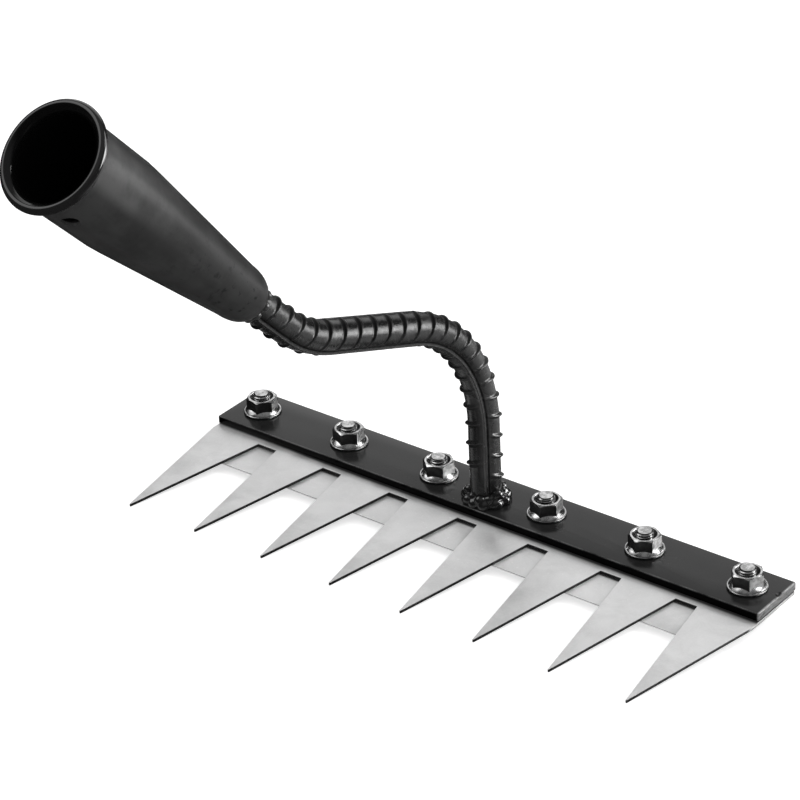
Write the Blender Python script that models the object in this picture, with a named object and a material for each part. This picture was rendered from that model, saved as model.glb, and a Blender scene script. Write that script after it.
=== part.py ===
"""Head of a weeding rake, in metres, +Z up.

A flat steel bar carries a toothed blade and a straight blade on six bolts. A neck of ribbed bar is welded to its
top, and a tapered socket for a wooden handle is welded to the neck.

Each piece is drawn in the tool's own frame: X runs along the bar, -Y is the side of the teeth and of the handle,
and the origin is the middle of the bar's underside. The finished tool is then leant on its tooth tips and bolt
heads, as it lies on a floor, with the origin below the middle of its outline.
"""

import math

import bmesh
import bpy
from mathutils import Vector

# Clearance between pieces that touch
FIT_GAP = 0.0003

# Mounting bar
BAR_LENGTH = 0.300
BAR_WIDTH = 0.030
BAR_THICKNESS = 0.004
BAR_EDGE_BEVEL = 0.0005

# Toothed blade, a steel sheet under the bar
TOOTHED_SHEET = 0.0015
TOOTH_COUNT = 8
TOOTH_LENGTH = 0.074
TOOTH_BASE = 0.028
TOOTH_TIP_WIDTH = 0.0006
ROOT_STRIP = 0.004
BLADE_BACK_INSET = 0.001

# Straight blade, a second sheet under the toothed one
STRAIGHT_SHEET = 0.0015
STRAIGHT_REACH = 0.0245
STRAIGHT_END_INSET = 0.006

# Bolts and flange nuts
BOLTS_PER_SIDE = 3
BOLT_END_MARGIN = 0.015
BOLT_MIDDLE_SPACING = 0.060
BOLT_RADIUS = 0.004
BOLT_LENGTH = 0.018
BOLT_TIP_CHAMFER = 0.0008
BOLT_HEAD_HEIGHT = 0.0053
BOLT_HOLE_CLEARANCE = 0.0005
WRENCH_SIZE = 0.013
HEX_CHAMFER = 0.0007
NUT_HEIGHT = 0.008
FLANGE_RADIUS = 0.00895
FLANGE_RIM = 0.0011
FLANGE_SLOPE_HEIGHT = 0.0028
NUT_MOUTH_CHAMFER = 0.0007
NUT_TURNS = (50.0, 41.0, 22.0, 44.0, 30.0, 8.0)

# Neck, one ribbed bar bent in an upright plane
NECK_RADIUS = 0.0071
NECK_FORWARD = 0.0045
NECK_RISE = 0.0379
SHOULDER_RADIUS = 0.0753
RUN_SLOPE = math.radians(21.0)
RUN_LENGTH = 0.0591
ELBOW_RADIUS = 0.0701
HANDLE_SLOPE = math.radians(45.9)
NECK_END_LENGTH = 0.028
NECK_INSERT = 0.016

# Ribs rolled on the neck
RIB_PITCH = 0.0103
RIB_HEIGHT = 0.0012
RIB_BASE = 0.0024
RIB_CREST = 0.0008
RIB_SLANT = math.radians(22.0)
RIB_STAGGER = 0.0070
LONG_RIB_TURN = math.radians(-51.0)
LONG_RIB_HEIGHT = 0.0009
LONG_RIB_WIDTH = 0.0019
RIB_END_MARGIN = 0.0004

# Weld beads
FOOT_WELD_WIDTH = 0.0029
FOOT_WELD_HEIGHT = 0.0058
FOOT_WELD_SPREAD = 0.0011
SOCKET_WELD_WIDTH = 0.0015
SOCKET_WELD_LENGTH = 0.0036
WELD_LUMP = 0.0005

# Handle socket
SOCKET_LENGTH = 0.1407
SOCKET_TAPER_LENGTH = 0.0958
SOCKET_SMALL_RADIUS = 0.0108
SOCKET_WIDE_RADIUS = 0.0190
SOCKET_MOUTH_RADIUS = 0.01945
SOCKET_WALL = 0.0020
SOCKET_SHOULDER = 0.0115
SOCKET_END_RADIUS = 0.0080
LIP_RADIUS = 0.0225
LIP_ROUND = 0.0019
LIP_NECK = 0.009
SCREW_HOLE_RADIUS = 0.0034
SCREW_HOLE_FROM_MOUTH = 0.0160
SCREW_HOLE_TURN = math.radians(-66.0)

# Facets
ROUND_SIDES = 32
SMALL_ROUND_SIDES = 24
SHARP_ANGLE = math.radians(35.0)

# Levels of the stack, from the bar's underside down
TOOTHED_TOP = -FIT_GAP
TOOTHED_BOTTOM = TOOTHED_TOP - TOOTHED_SHEET
STRAIGHT_TOP = TOOTHED_BOTTOM - FIT_GAP
STRAIGHT_BOTTOM = STRAIGHT_TOP - STRAIGHT_SHEET
HEAD_TOP = STRAIGHT_BOTTOM - FIT_GAP
HEAD_BOTTOM = HEAD_TOP - BOLT_HEAD_HEIGHT
BAR_TOP_SEAT = BAR_THICKNESS + FIT_GAP

# The neck's plain ends, under the welds and inside the socket
RIB_REACH = math.pi * NECK_RADIUS / 2 * math.tan(RIB_SLANT) + RIB_BASE / 2 + RIB_END_MARGIN
FOOT_PLAIN = FOOT_WELD_HEIGHT + FIT_GAP
SHOULDER_LENGTH = (math.pi / 2 - RUN_SLOPE) * SHOULDER_RADIUS
ELBOW_LENGTH = (HANDLE_SLOPE - RUN_SLOPE) * ELBOW_RADIUS
SOCKET_START = NECK_RISE + SHOULDER_LENGTH + RUN_LENGTH + ELBOW_LENGTH + NECK_END_LENGTH
END_PLAIN = SOCKET_START - SOCKET_WELD_LENGTH - 2 * FIT_GAP


def clear_scene():
    """Empty the scene."""
    for item in list(bpy.data.objects):
        bpy.data.objects.remove(item, do_unlink=True)


def new_material(name, colour, roughness, metallic):
    """A plain Principled material."""
    material = bpy.data.materials.new(name)
    material.use_nodes = True
    shader = material.node_tree.nodes["Principled BSDF"]
    shader.inputs["Base Color"].default_value = (*colour, 1.0)
    shader.inputs["Roughness"].default_value = roughness
    shader.inputs["Metallic"].default_value = metallic
    return material


def finish_mesh(name, shape):
    """Turn a bmesh into a mesh with its faces outward and its round stretches smooth."""
    bmesh.ops.recalc_face_normals(shape, faces=shape.faces)
    mesh = bpy.data.meshes.new(name)
    shape.to_mesh(mesh)
    shape.free()
    mesh.shade_smooth()
    mesh.set_sharp_from_angle(angle=SHARP_ANGLE)
    return mesh


def add_object(name, mesh, parent=None, material=None):
    """Put a mesh into the scene as a named object."""
    item = bpy.data.objects.new(name, mesh)
    bpy.context.scene.collection.objects.link(item)
    item.parent = parent
    if material:
        mesh.materials.append(material)
    return item


def add_boolean(item, tool, operation):
    """Cut, join or keep the common part with another object, which stays as a hidden guide."""
    tool.hide_render = True
    tool.display_type = "WIRE"
    modifier = item.modifiers.new(tool.name, "BOOLEAN")
    modifier.operation = operation
    modifier.object = tool
    return modifier


def bake_mesh(item, name):
    """The object's mesh with its modifiers carried out; the object and its guides are removed."""
    evaluated = item.evaluated_get(bpy.context.evaluated_depsgraph_get())
    mesh = bpy.data.meshes.new_from_object(evaluated)
    mesh.name = name
    guides = [modifier.object for modifier in item.modifiers if modifier.type == "BOOLEAN"]
    for used in [item, *guides]:
        bpy.data.objects.remove(used, do_unlink=True)
    mesh.shade_smooth()
    mesh.set_sharp_from_angle(angle=SHARP_ANGLE)
    return mesh


def bridge_rings(shape, rings, closed):
    """Faces between neighbouring rings of vertices; a closed skin also joins the last ring to the first."""
    pairs = list(zip(rings, rings[1:]))
    if closed:
        pairs.append((rings[-1], rings[0]))
    for lower, upper in pairs:
        for i in range(len(lower)):
            j = (i + 1) % len(lower)
            shape.faces.new((lower[i], lower[j], upper[j], upper[i]))


def add_ring(shape, radius, height, sides):
    """A ring of vertices about the Z axis."""
    turns = [2 * math.pi * i / sides for i in range(sides)]
    return [shape.verts.new((radius * math.cos(t), radius * math.sin(t), height)) for t in turns]


def turned_solid(name, profile, sides):
    """A solid turned about Z from (radius, height) points that run along its skin, with flat ends."""
    shape = bmesh.new()
    rings = [add_ring(shape, radius, height, sides) for radius, height in profile]
    bridge_rings(shape, rings, closed=False)
    shape.faces.new(rings[0])
    shape.faces.new(rings[-1])
    return finish_mesh(name, shape)


def turned_ring(name, profile, sides):
    """A ring turned about Z from a closed outline of (radius, height) points."""
    shape = bmesh.new()
    rings = [add_ring(shape, radius, height, sides) for radius, height in profile]
    bridge_rings(shape, rings, closed=True)
    return finish_mesh(name, shape)


def extruded_outline(name, outline, bottom, top):
    """A flat plate between two levels, from its outline seen from above."""
    shape = bmesh.new()
    face = shape.faces.new([shape.verts.new((x, y, bottom)) for x, y in outline])
    grown = bmesh.ops.extrude_face_region(shape, geom=[face])
    risen = [part for part in grown["geom"] if isinstance(part, bmesh.types.BMVert)]
    bmesh.ops.translate(shape, vec=(0, 0, top - bottom), verts=risen)
    return finish_mesh(name, shape)


def rectangle(length, front, back):
    """Outline of a strip of the given length along X, from one Y to another."""
    half = length / 2
    return [(-half, front), (half, front), (half, back), (-half, back)]


def bolt_places():
    """Positions of the bolts along the bar, from its left end to its right."""
    first = BOLT_MIDDLE_SPACING / 2
    last = BAR_LENGTH / 2 - BOLT_END_MARGIN
    step = (last - first) / (BOLTS_PER_SIDE - 1)
    right = [first + step * i for i in range(BOLTS_PER_SIDE)]
    return [-x for x in reversed(right)] + right


def bolt_hole_tool(parent):
    """Guide with one cylinder for each bolt hole, long enough for the whole stack."""
    shape = bmesh.new()
    radius = BOLT_RADIUS + BOLT_HOLE_CLEARANCE
    bottom = HEAD_BOTTOM
    top = BAR_THICKNESS + BOLT_HEAD_HEIGHT
    for place in bolt_places():
        rings = [add_ring(shape, radius, height, SMALL_ROUND_SIDES) for height in (bottom, top)]
        bmesh.ops.translate(shape, vec=(place, 0, 0), verts=rings[0] + rings[1])
        bridge_rings(shape, rings, closed=False)
        shape.faces.new(rings[0])
        shape.faces.new(rings[1])
    return add_object("bolt_hole_tool", finish_mesh("bolt_hole_tool", shape), parent)


def make_bar(parent, holes, material):
    """Flat bar with slightly rounded edges and a hole for each bolt."""
    outline = rectangle(BAR_LENGTH, -BAR_WIDTH / 2, BAR_WIDTH / 2)
    mesh = extruded_outline("mounting_bar", outline, 0.0, BAR_THICKNESS)
    bar = add_object("mounting_bar", mesh, parent, material)
    bevel = bar.modifiers.new("edges", "BEVEL")
    bevel.width = BAR_EDGE_BEVEL
    bevel.segments = 2
    add_boolean(bar, holes, "DIFFERENCE")
    return bar


def tooth_outline():
    """Outline of the toothed blade: a strip with pointed teeth and a narrow flat between their roots."""
    pitch = (BAR_LENGTH - TOOTH_BASE) / (TOOTH_COUNT - 1)
    back = BAR_WIDTH / 2 - BLADE_BACK_INSET
    root = -BAR_WIDTH / 2 - ROOT_STRIP
    tip = root - TOOTH_LENGTH
    outline = [(BAR_LENGTH / 2, back), (-BAR_LENGTH / 2, back)]
    for i in range(TOOTH_COUNT):
        middle = (i - (TOOTH_COUNT - 1) / 2) * pitch
        outline.append((middle - TOOTH_BASE / 2, root))
        outline.append((middle - TOOTH_TIP_WIDTH / 2, tip))
        outline.append((middle + TOOTH_TIP_WIDTH / 2, tip))
        outline.append((middle + TOOTH_BASE / 2, root))
    return outline


def make_toothed_blade(parent, holes, material):
    """Bright sheet with a row of long pointed teeth."""
    mesh = extruded_outline("toothed_blade", tooth_outline(), TOOTHED_BOTTOM, TOOTHED_TOP)
    blade = add_object("toothed_blade", mesh, parent, material)
    add_boolean(blade, holes, "DIFFERENCE")
    return blade


def make_straight_blade(parent, holes, material):
    """Plain strip whose straight front edge shows between the teeth."""
    front = -BAR_WIDTH / 2 - STRAIGHT_REACH
    length = BAR_LENGTH - 2 * STRAIGHT_END_INSET
    outline = rectangle(length, front, BAR_WIDTH / 2 - BLADE_BACK_INSET)
    mesh = extruded_outline("straight_blade", outline, STRAIGHT_BOTTOM, STRAIGHT_TOP)
    blade = add_object("straight_blade", mesh, parent, material)
    add_boolean(blade, holes, "DIFFERENCE")
    return blade


def hexagon_block(name, bottom, top, chamfer_bottom, chamfer_top):
    """Six-sided block whose chosen ends are chamfered to a round face, as on nuts and bolt heads."""
    corner = WRENCH_SIZE / math.sqrt(3)
    outline = [(corner * math.cos(math.pi * i / 3), corner * math.sin(math.pi * i / 3)) for i in range(6)]
    block = add_object(name, extruded_outline(name, outline, bottom, top))
    pad = WRENCH_SIZE / 2 - HEX_CHAMFER / 2
    fall = (corner + HEX_CHAMFER - pad) * math.tan(math.radians(30))
    profile = []
    if chamfer_bottom:
        profile += [(pad, bottom), (corner + HEX_CHAMFER, bottom + fall)]
    else:
        profile += [(corner + HEX_CHAMFER, bottom - HEX_CHAMFER)]
    if chamfer_top:
        profile += [(corner + HEX_CHAMFER, top - fall), (pad, top)]
    else:
        profile += [(corner + HEX_CHAMFER, top + HEX_CHAMFER)]
    lens = add_object(name + "_chamfer_tool", turned_solid(name + "_lens", profile, ROUND_SIDES))
    add_boolean(block, lens, "INTERSECT")
    return add_object(name, bake_mesh(block, name))


def bolt_mesh():
    """Bolt that stands head down: chamfered six-sided head and a plain shank with a chamfered tip."""
    head = hexagon_block("bolt_blank", HEAD_BOTTOM, HEAD_TOP, chamfer_bottom=True, chamfer_top=False)
    end = HEAD_TOP + BOLT_LENGTH
    middle = (HEAD_BOTTOM + HEAD_TOP) / 2
    profile = [
        (BOLT_RADIUS, middle),
        (BOLT_RADIUS, end - BOLT_TIP_CHAMFER),
        (BOLT_RADIUS - BOLT_TIP_CHAMFER, end),
    ]
    shank = add_object("shank_blank", turned_solid("shank_blank", profile, SMALL_ROUND_SIDES))
    add_boolean(head, shank, "UNION")
    return bake_mesh(head, "bolt")


def nut_mesh():
    """Flange nut: six-sided top on a sloping round flange, with a bore that clears the bolt."""
    seat = BAR_TOP_SEAT
    top = seat + NUT_HEIGHT
    nut = hexagon_block("nut_blank", seat + FLANGE_RIM, top, chamfer_bottom=False, chamfer_top=True)
    profile = [
        (FLANGE_RADIUS - FLANGE_RIM / 4, seat),
        (FLANGE_RADIUS, seat + FLANGE_RIM / 2),
        (FLANGE_RADIUS - FLANGE_RIM / 4, seat + FLANGE_RIM),
        (WRENCH_SIZE / 2 - HEX_CHAMFER, seat + FLANGE_SLOPE_HEIGHT),
    ]
    flange = add_object("flange_blank", turned_solid("flange_blank", profile, ROUND_SIDES))
    add_boolean(nut, flange, "UNION")
    bore = BOLT_RADIUS + FIT_GAP
    wide = bore + NUT_MOUTH_CHAMFER + FIT_GAP
    profile = [
        (bore, seat - FIT_GAP),
        (bore, top - NUT_MOUTH_CHAMFER),
        (wide, top + FIT_GAP),
    ]
    drill = add_object("bore_tool", turned_solid("bore_tool", profile, SMALL_ROUND_SIDES))
    add_boolean(nut, drill, "DIFFERENCE")
    return bake_mesh(nut, "flange_nut")


def make_fasteners(parent, material):
    """One bolt and one flange nut in each hole; the nuts stop at different turns."""
    bolt = bolt_mesh()
    nut = nut_mesh()
    bolt.materials.append(material)
    nut.materials.append(material)
    for number, place in enumerate(bolt_places(), start=1):
        one_bolt = add_object(f"bolt_{number}", bolt, parent)
        one_bolt.location.x = place
        one_nut = add_object(f"flange_nut_{number}", nut, parent)
        one_nut.location.x = place
        one_nut.rotation_euler.z = math.radians(NUT_TURNS[(number - 1) % len(NUT_TURNS)])


def neck_frame(distance):
    """Point of the neck's middle line and its slope, at a distance from the foot along the line."""
    stretches = [
        (NECK_RISE, 0.0),
        (SHOULDER_LENGTH, -1 / SHOULDER_RADIUS),
        (RUN_LENGTH, 0.0),
        (ELBOW_LENGTH, 1 / ELBOW_RADIUS),
        (NECK_END_LENGTH + NECK_INSERT, 0.0),
    ]
    y = -NECK_FORWARD
    z = BAR_TOP_SEAT
    slope = math.pi / 2
    for length, bend in stretches:
        step = min(distance, length)
        turned = slope + bend * step
        if bend:
            y -= (math.sin(turned) - math.sin(slope)) / bend
            z -= (math.cos(turned) - math.cos(slope)) / bend
        else:
            y -= math.cos(slope) * step
            z += math.sin(slope) * step
        slope = turned
        distance -= step
        if distance <= 0:
            break
    return Vector((0.0, y, z)), slope


def rib_columns():
    """Angles round the neck with the two rib heights, the share of the slant and the share of the stagger there.

    The two long ribs lie opposite each other, and crescents run between them, high in the middle. Those of the
    second side sit further along the neck than those of the first."""
    steps = 8
    half_width = LONG_RIB_WIDTH / 2 / NECK_RADIUS
    columns = []
    for side in range(2):
        start = LONG_RIB_TURN + side * math.pi
        slant = 1 - 2 * side
        columns.append((start, LONG_RIB_HEIGHT, 0.0, slant, 0.5))
        for i in range(steps + 1):
            share = i / steps
            turn = half_width + (math.pi - 2 * half_width) * share
            crescent = RIB_HEIGHT * math.sin(math.pi * share) ** 0.6 if 0 < i < steps else 0.0
            columns.append((start + turn, 0.0, crescent, slant * (1 - 2 * turn / math.pi), side))
    return columns


def rib_rows():
    """Rows along the neck: distance, share of the slant, share of the crescents, share of the long ribs."""
    end = SOCKET_START + NECK_INSERT
    first = FOOT_PLAIN + RIB_REACH
    last = END_PLAIN - RIB_REACH - RIB_STAGGER
    count = int((last - first) / RIB_PITCH) + 1
    ease = RIB_END_MARGIN / 2
    rows = [(0.0, 0, 0, 0), (FOOT_PLAIN, 0, 0, 0), (FOOT_PLAIN + ease, 0, 0, 1)]
    for i in range(count):
        middle = first + i * RIB_PITCH
        rows.append((middle - RIB_BASE / 2, 1, 0, 1))
        rows.append((middle - RIB_CREST / 2, 1, 1, 1))
        rows.append((middle + RIB_CREST / 2, 1, 1, 1))
        rows.append((middle + RIB_BASE / 2, 1, 0, 1))
    rows += [(END_PLAIN - ease, 0, 0, 1), (END_PLAIN, 0, 0, 0), (end, 0, 0, 0)]
    return rows


def make_neck(parent, material):
    """Ribbed bar: up from the mounting bar, over a shoulder, along a slope and up into the socket."""
    shape = bmesh.new()
    swing = math.pi * NECK_RADIUS / 2 * math.tan(RIB_SLANT)
    rings = []
    for distance, slanted, crests, long_ribs in rib_rows():
        ring = []
        for turn, long_height, crescent, slant, stagger in rib_columns():
            point, slope = neck_frame(distance + slanted * (slant * swing + stagger * RIB_STAGGER))
            outward = Vector((0.0, math.sin(slope), math.cos(slope)))
            radius = NECK_RADIUS + long_height * long_ribs + crescent * crests
            side = Vector((math.cos(turn), 0.0, 0.0)) + outward * math.sin(turn)
            ring.append(shape.verts.new(point + side * radius))
        rings.append(ring)
    bridge_rings(shape, rings, closed=False)
    shape.faces.new(rings[0])
    shape.faces.new(rings[-1])
    return add_object("neck", finish_mesh("neck", shape), parent, material)


def weld_ring(name, profile, lumps, sides, spread=0.0):
    """Ring of weld metal from a closed outline of (radius, height, share of the lumps) points, wider along X."""
    shape = bmesh.new()
    rings = []
    for radius, height, share in profile:
        ring = []
        for i in range(sides):
            turn = 2 * math.pi * i / sides
            lump = WELD_LUMP * share * (math.cos(lumps * turn) + 0.6 * math.cos(3 * turn + 1.0)) / 1.6
            reach = radius + lump + spread * share * math.cos(turn) ** 2
            ring.append(shape.verts.new((reach * math.cos(turn), reach * math.sin(turn), height)))
        rings.append(ring)
    bridge_rings(shape, rings, closed=True)
    return finish_mesh(name, shape)


def make_foot_weld(parent, material):
    """Bead that joins the neck's foot to the bar."""
    bore = NECK_RADIUS + FIT_GAP
    width = FOOT_WELD_WIDTH
    height = FOOT_WELD_HEIGHT
    profile = [
        (bore, 0.0, 0.0),
        (bore + width - WELD_LUMP, 0.0, 1.0),
        (bore + width * 0.92 - WELD_LUMP, height * 0.28, 1.0),
        (bore + width * 0.70 - WELD_LUMP, height * 0.56, 1.0),
        (bore + width * 0.42 - WELD_LUMP, height * 0.80, 0.8),
        (bore + width * 0.20, height, 0.3),
        (bore, height, 0.0),
    ]
    weld = add_object("neck_weld", weld_ring("neck_weld", profile, 9, 36, FOOT_WELD_SPREAD), parent, material)
    weld.location = (0.0, -NECK_FORWARD, BAR_TOP_SEAT)
    return weld


def place_on_neck(item, distance):
    """Set an object on the neck's middle line with its Z along the line."""
    point, slope = neck_frame(distance)
    item.location = point
    item.rotation_euler.x = math.pi / 2 - slope


def make_socket_weld(parent, material):
    """Bead that joins the neck to the small end of the socket."""
    bore = NECK_RADIUS + FIT_GAP
    width = SOCKET_WELD_WIDTH
    length = SOCKET_WELD_LENGTH
    profile = [
        (bore, 0.0, 0.0),
        (bore + width * 0.45, 0.0, 0.3),
        (bore + width * 0.85, length * 0.35, 0.7),
        (bore + width - WELD_LUMP, length * 0.80, 0.7),
        (bore + width * 0.75, length, 0.4),
        (bore, length, 0.0),
    ]
    weld = add_object("socket_weld", weld_ring("socket_weld", profile, 7, 28), parent, material)
    place_on_neck(weld, SOCKET_START - SOCKET_WELD_LENGTH - FIT_GAP)
    return weld


def socket_radius(height):
    """Outer radius of the socket at a height above its small end: shoulder, taper, then a nearly straight mouth."""
    if height > SOCKET_TAPER_LENGTH:
        share = (height - SOCKET_TAPER_LENGTH) / (SOCKET_LENGTH - SOCKET_TAPER_LENGTH)
        return SOCKET_WIDE_RADIUS + (SOCKET_MOUTH_RADIUS - SOCKET_WIDE_RADIUS) * share
    taper = (SOCKET_WIDE_RADIUS - SOCKET_SMALL_RADIUS) / SOCKET_TAPER_LENGTH
    if height >= SOCKET_SHOULDER:
        return SOCKET_SMALL_RADIUS + taper * height
    grown = SOCKET_SMALL_RADIUS + taper * SOCKET_SHOULDER - SOCKET_END_RADIUS
    return SOCKET_END_RADIUS + grown * math.sqrt(1 - (1 - height / SOCKET_SHOULDER) ** 2)


def socket_profile():
    """Closed outline of the socket's wall: rounded end, taper, straight part, rolled lip, and back down the bore."""
    bore = NECK_RADIUS + FIT_GAP
    length = SOCKET_LENGTH
    knee_ease = SOCKET_WALL
    shoulder = [SOCKET_SHOULDER * (1 - math.cos(math.pi / 2 * i / 5)) for i in range(5)]
    body = [SOCKET_SHOULDER + (SOCKET_TAPER_LENGTH - knee_ease - SOCKET_SHOULDER) * i / 4 for i in range(5)]
    body += [SOCKET_TAPER_LENGTH + knee_ease, (SOCKET_TAPER_LENGTH + length - LIP_NECK) / 2, length - LIP_NECK]
    profile = [(bore, 0.0)] + [(socket_radius(height), height) for height in shoulder + body]
    lip_middle = LIP_RADIUS - LIP_ROUND
    lip_height = length - LIP_ROUND
    for i in range(6):
        turn = math.radians(-70 + 32 * i)
        profile.append((lip_middle + LIP_ROUND * math.cos(turn), lip_height + LIP_ROUND * math.sin(turn)))
    mouth = socket_radius(length) - SOCKET_WALL
    profile.append((lip_middle - LIP_ROUND / 2, length - LIP_ROUND * 0.4))
    profile.append((mouth + LIP_ROUND * 0.4, length - LIP_ROUND * 1.3))
    profile += [(socket_radius(height) - SOCKET_WALL, height) for height in reversed(body)]
    for height in reversed(shoulder[2:]):
        profile.append((socket_radius(height) - SOCKET_WALL, height + SOCKET_WALL / 2))
    profile.append((bore, SOCKET_WALL))
    return profile


def make_socket(parent, material):
    """Tapered steel sleeve with a rolled lip at its mouth and a screw hole near it."""
    mesh = turned_ring("handle_socket", socket_profile(), ROUND_SIDES)
    socket = add_object("handle_socket", mesh, parent, material)
    place_on_neck(socket, SOCKET_START)
    profile = [(SCREW_HOLE_RADIUS, 0.0), (SCREW_HOLE_RADIUS, LIP_RADIUS + SOCKET_WALL)]
    drill = add_object("screw_hole_tool", turned_solid("screw_hole_tool", profile, 16), socket)
    drill.location.z = SOCKET_LENGTH - SCREW_HOLE_FROM_MOUTH
    drill.rotation_euler = (0.0, math.pi / 2, SCREW_HOLE_TURN)
    add_boolean(socket, drill, "DIFFERENCE")
    return socket


def rest_on_floor(tool):
    """Lean the tool on its tooth tips and bolt heads, with the origin under the middle of its outline."""
    tip_y = -BAR_WIDTH / 2 - ROOT_STRIP - TOOTH_LENGTH
    head_y = HEX_CHAMFER / 2 - WRENCH_SIZE / 2
    tool.rotation_euler.x = math.atan2(TOOTHED_BOTTOM - HEAD_BOTTOM, head_y - tip_y)
    bpy.context.view_layer.update()
    depsgraph = bpy.context.evaluated_depsgraph_get()
    points = []
    for item in bpy.context.scene.objects:
        if item.type == "MESH" and not item.hide_render:
            evaluated = item.evaluated_get(depsgraph)
            points += [evaluated.matrix_world @ vertex.co for vertex in evaluated.data.vertices]
    lowest = [min(point[axis] for point in points) for axis in range(3)]
    highest = [max(point[axis] for point in points) for axis in range(3)]
    tool.location = (
        -(lowest[0] + highest[0]) / 2,
        -(lowest[1] + highest[1]) / 2,
        -lowest[2],
    )


def main():
    clear_scene()
    black_paint = new_material("black_paint", (0.025, 0.025, 0.027), 0.35, 0.0)
    blade_steel = new_material("blade_steel", (0.62, 0.62, 0.61), 0.35, 1.0)
    zinc_plate = new_material("zinc_plate", (0.55, 0.55, 0.54), 0.25, 1.0)
    tool = bpy.data.objects.new("rake_at_rest", None)
    bpy.context.scene.collection.objects.link(tool)
    holes = bolt_hole_tool(tool)
    make_bar(tool, holes, black_paint)
    make_toothed_blade(tool, holes, blade_steel)
    make_straight_blade(tool, holes, blade_steel)
    make_fasteners(tool, zinc_plate)
    make_neck(tool, black_paint)
    make_foot_weld(tool, black_paint)
    make_socket(tool, black_paint)
    make_socket_weld(tool, black_paint)
    rest_on_floor(tool)


main()
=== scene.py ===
# %% [markdown]
# A weeding rake head, dressed for its portrait
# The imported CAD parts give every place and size. Each visible piece is a finer copy of one part: the part
# stays in the physics model, and the piece is what the camera sees. Each is made with the bar level, as a
# maker draws it, and laid down on its tooth tips and bolt heads at the end.

# %% Load the frame
import math

import bmesh
import bpy
from mathutils import Matrix, Vector, noise


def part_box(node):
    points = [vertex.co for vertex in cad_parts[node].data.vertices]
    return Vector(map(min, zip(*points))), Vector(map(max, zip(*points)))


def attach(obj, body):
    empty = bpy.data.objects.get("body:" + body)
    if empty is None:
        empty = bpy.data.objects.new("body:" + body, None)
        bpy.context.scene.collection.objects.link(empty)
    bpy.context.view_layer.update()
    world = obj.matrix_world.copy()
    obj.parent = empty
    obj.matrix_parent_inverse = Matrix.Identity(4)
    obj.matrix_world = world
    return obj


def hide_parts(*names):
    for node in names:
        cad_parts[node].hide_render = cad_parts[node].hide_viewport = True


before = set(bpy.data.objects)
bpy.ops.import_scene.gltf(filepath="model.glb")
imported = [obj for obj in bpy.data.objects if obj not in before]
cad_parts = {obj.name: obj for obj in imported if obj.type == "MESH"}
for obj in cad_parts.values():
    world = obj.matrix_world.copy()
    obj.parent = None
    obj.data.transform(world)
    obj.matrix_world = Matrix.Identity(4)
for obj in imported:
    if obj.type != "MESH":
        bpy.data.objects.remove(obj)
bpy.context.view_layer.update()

MM = 0.001
print("parts:", len(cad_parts))

# %% [markdown]
# Where the level bar lies
# The tilt follows from what touches the floor: the tooth tips in front, the bolt heads behind. The place
# comes from the bar's own box in the frame, so a change in the CAD moves every piece with it.

# %% Find the bar
BAR_LENGTH = 300 * MM
BAR_WIDTH = 30 * MM
BAR_THICKNESS = 4 * MM
GAP = 0.3 * MM
SHEET = 1.5 * MM
HEAD_HEIGHT = 5.3 * MM
TOOTH_LENGTH = 74 * MM
ROOT_STRIP = 4 * MM
WRENCH_SIZE = 13 * MM
HEAD_CHAMFER = 0.35 * MM

TOOTHED_TOP = -GAP
STRAIGHT_TOP = TOOTHED_TOP - SHEET - GAP
HEAD_TOP = STRAIGHT_TOP - SHEET - GAP
HEAD_BOTTOM = HEAD_TOP - HEAD_HEIGHT
SEAT = BAR_THICKNESS + GAP

head_reach = BAR_WIDTH / 2 + ROOT_STRIP + TOOTH_LENGTH - WRENCH_SIZE / 2 + HEAD_CHAMFER
tilt = math.atan2(TOOTHED_TOP - SHEET - HEAD_BOTTOM, head_reach)
bar_low, bar_high = (Vector(corner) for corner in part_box("mounting_bar"))
turn = Matrix.Rotation(tilt, 4, "X")
LAID_DOWN = Matrix.Translation((bar_low + bar_high) / 2 - turn @ Vector((0, 0, BAR_THICKNESS / 2))) @ turn
print("tilt in degrees", round(math.degrees(tilt), 3))
print("place in mm", [round(value / MM, 2) for value in LAID_DOWN.translation])

# %% [markdown]
# A camera like the photographer's
# The photograph was matched to the bar, the teeth and the nuts, which gives a long lens 1.4 m away. It is
# set up as a chain of moves, because a turn is easier to correct than a matrix: round the rake, up, a
# slight lean of the picture, and back along the view.

# %% Camera
CAMERA_TURN = 0.6850495
CAMERA_RISE = 0.5163509
CAMERA_LEAN = -0.0478176
CAMERA_SHIFT = Vector((32.42477, -52.13845, -1394.607)) * MM
FIT_ORIGIN = Vector((0, -BAR_WIDTH / 2, 0))
FOCAL_PIXELS = 3119.78
PICTURE_PIXELS = 800

turned = Matrix.Rotation(CAMERA_TURN, 4, "Z")
raised = Matrix.Rotation(math.pi / 2 - CAMERA_RISE, 4, "X")
leaning = Matrix.Rotation(CAMERA_LEAN, 4, "Z")
moved_back = Matrix.Translation(-CAMERA_SHIFT)
stand = LAID_DOWN @ Matrix.Translation(FIT_ORIGIN)

camera_data = bpy.data.cameras.new("camera")
camera_data.sensor_fit = "HORIZONTAL"
camera_data.sensor_width = 36
camera_data.lens = FOCAL_PIXELS * camera_data.sensor_width / PICTURE_PIXELS
camera_data.clip_end = 100
camera = bpy.data.objects.new("camera", camera_data)
bpy.context.scene.collection.objects.link(camera)
camera.matrix_world = stand @ turned @ raised @ leaning @ moved_back
bpy.context.scene.camera = camera
print("lens in mm", round(camera_data.lens, 1))
print("camera at", [round(value, 3) for value in camera.matrix_world.translation])

# %% [markdown]
# Shader sums written as sums
# A paint or a metal is a small recipe of numbers that vary over the surface. Wiring Math nodes by hand
# hides the recipe, so one small class wraps a socket, and adding or multiplying two of them adds the node.
# A second class holds a material that is being made, and has one method that adds any other node.

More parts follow.
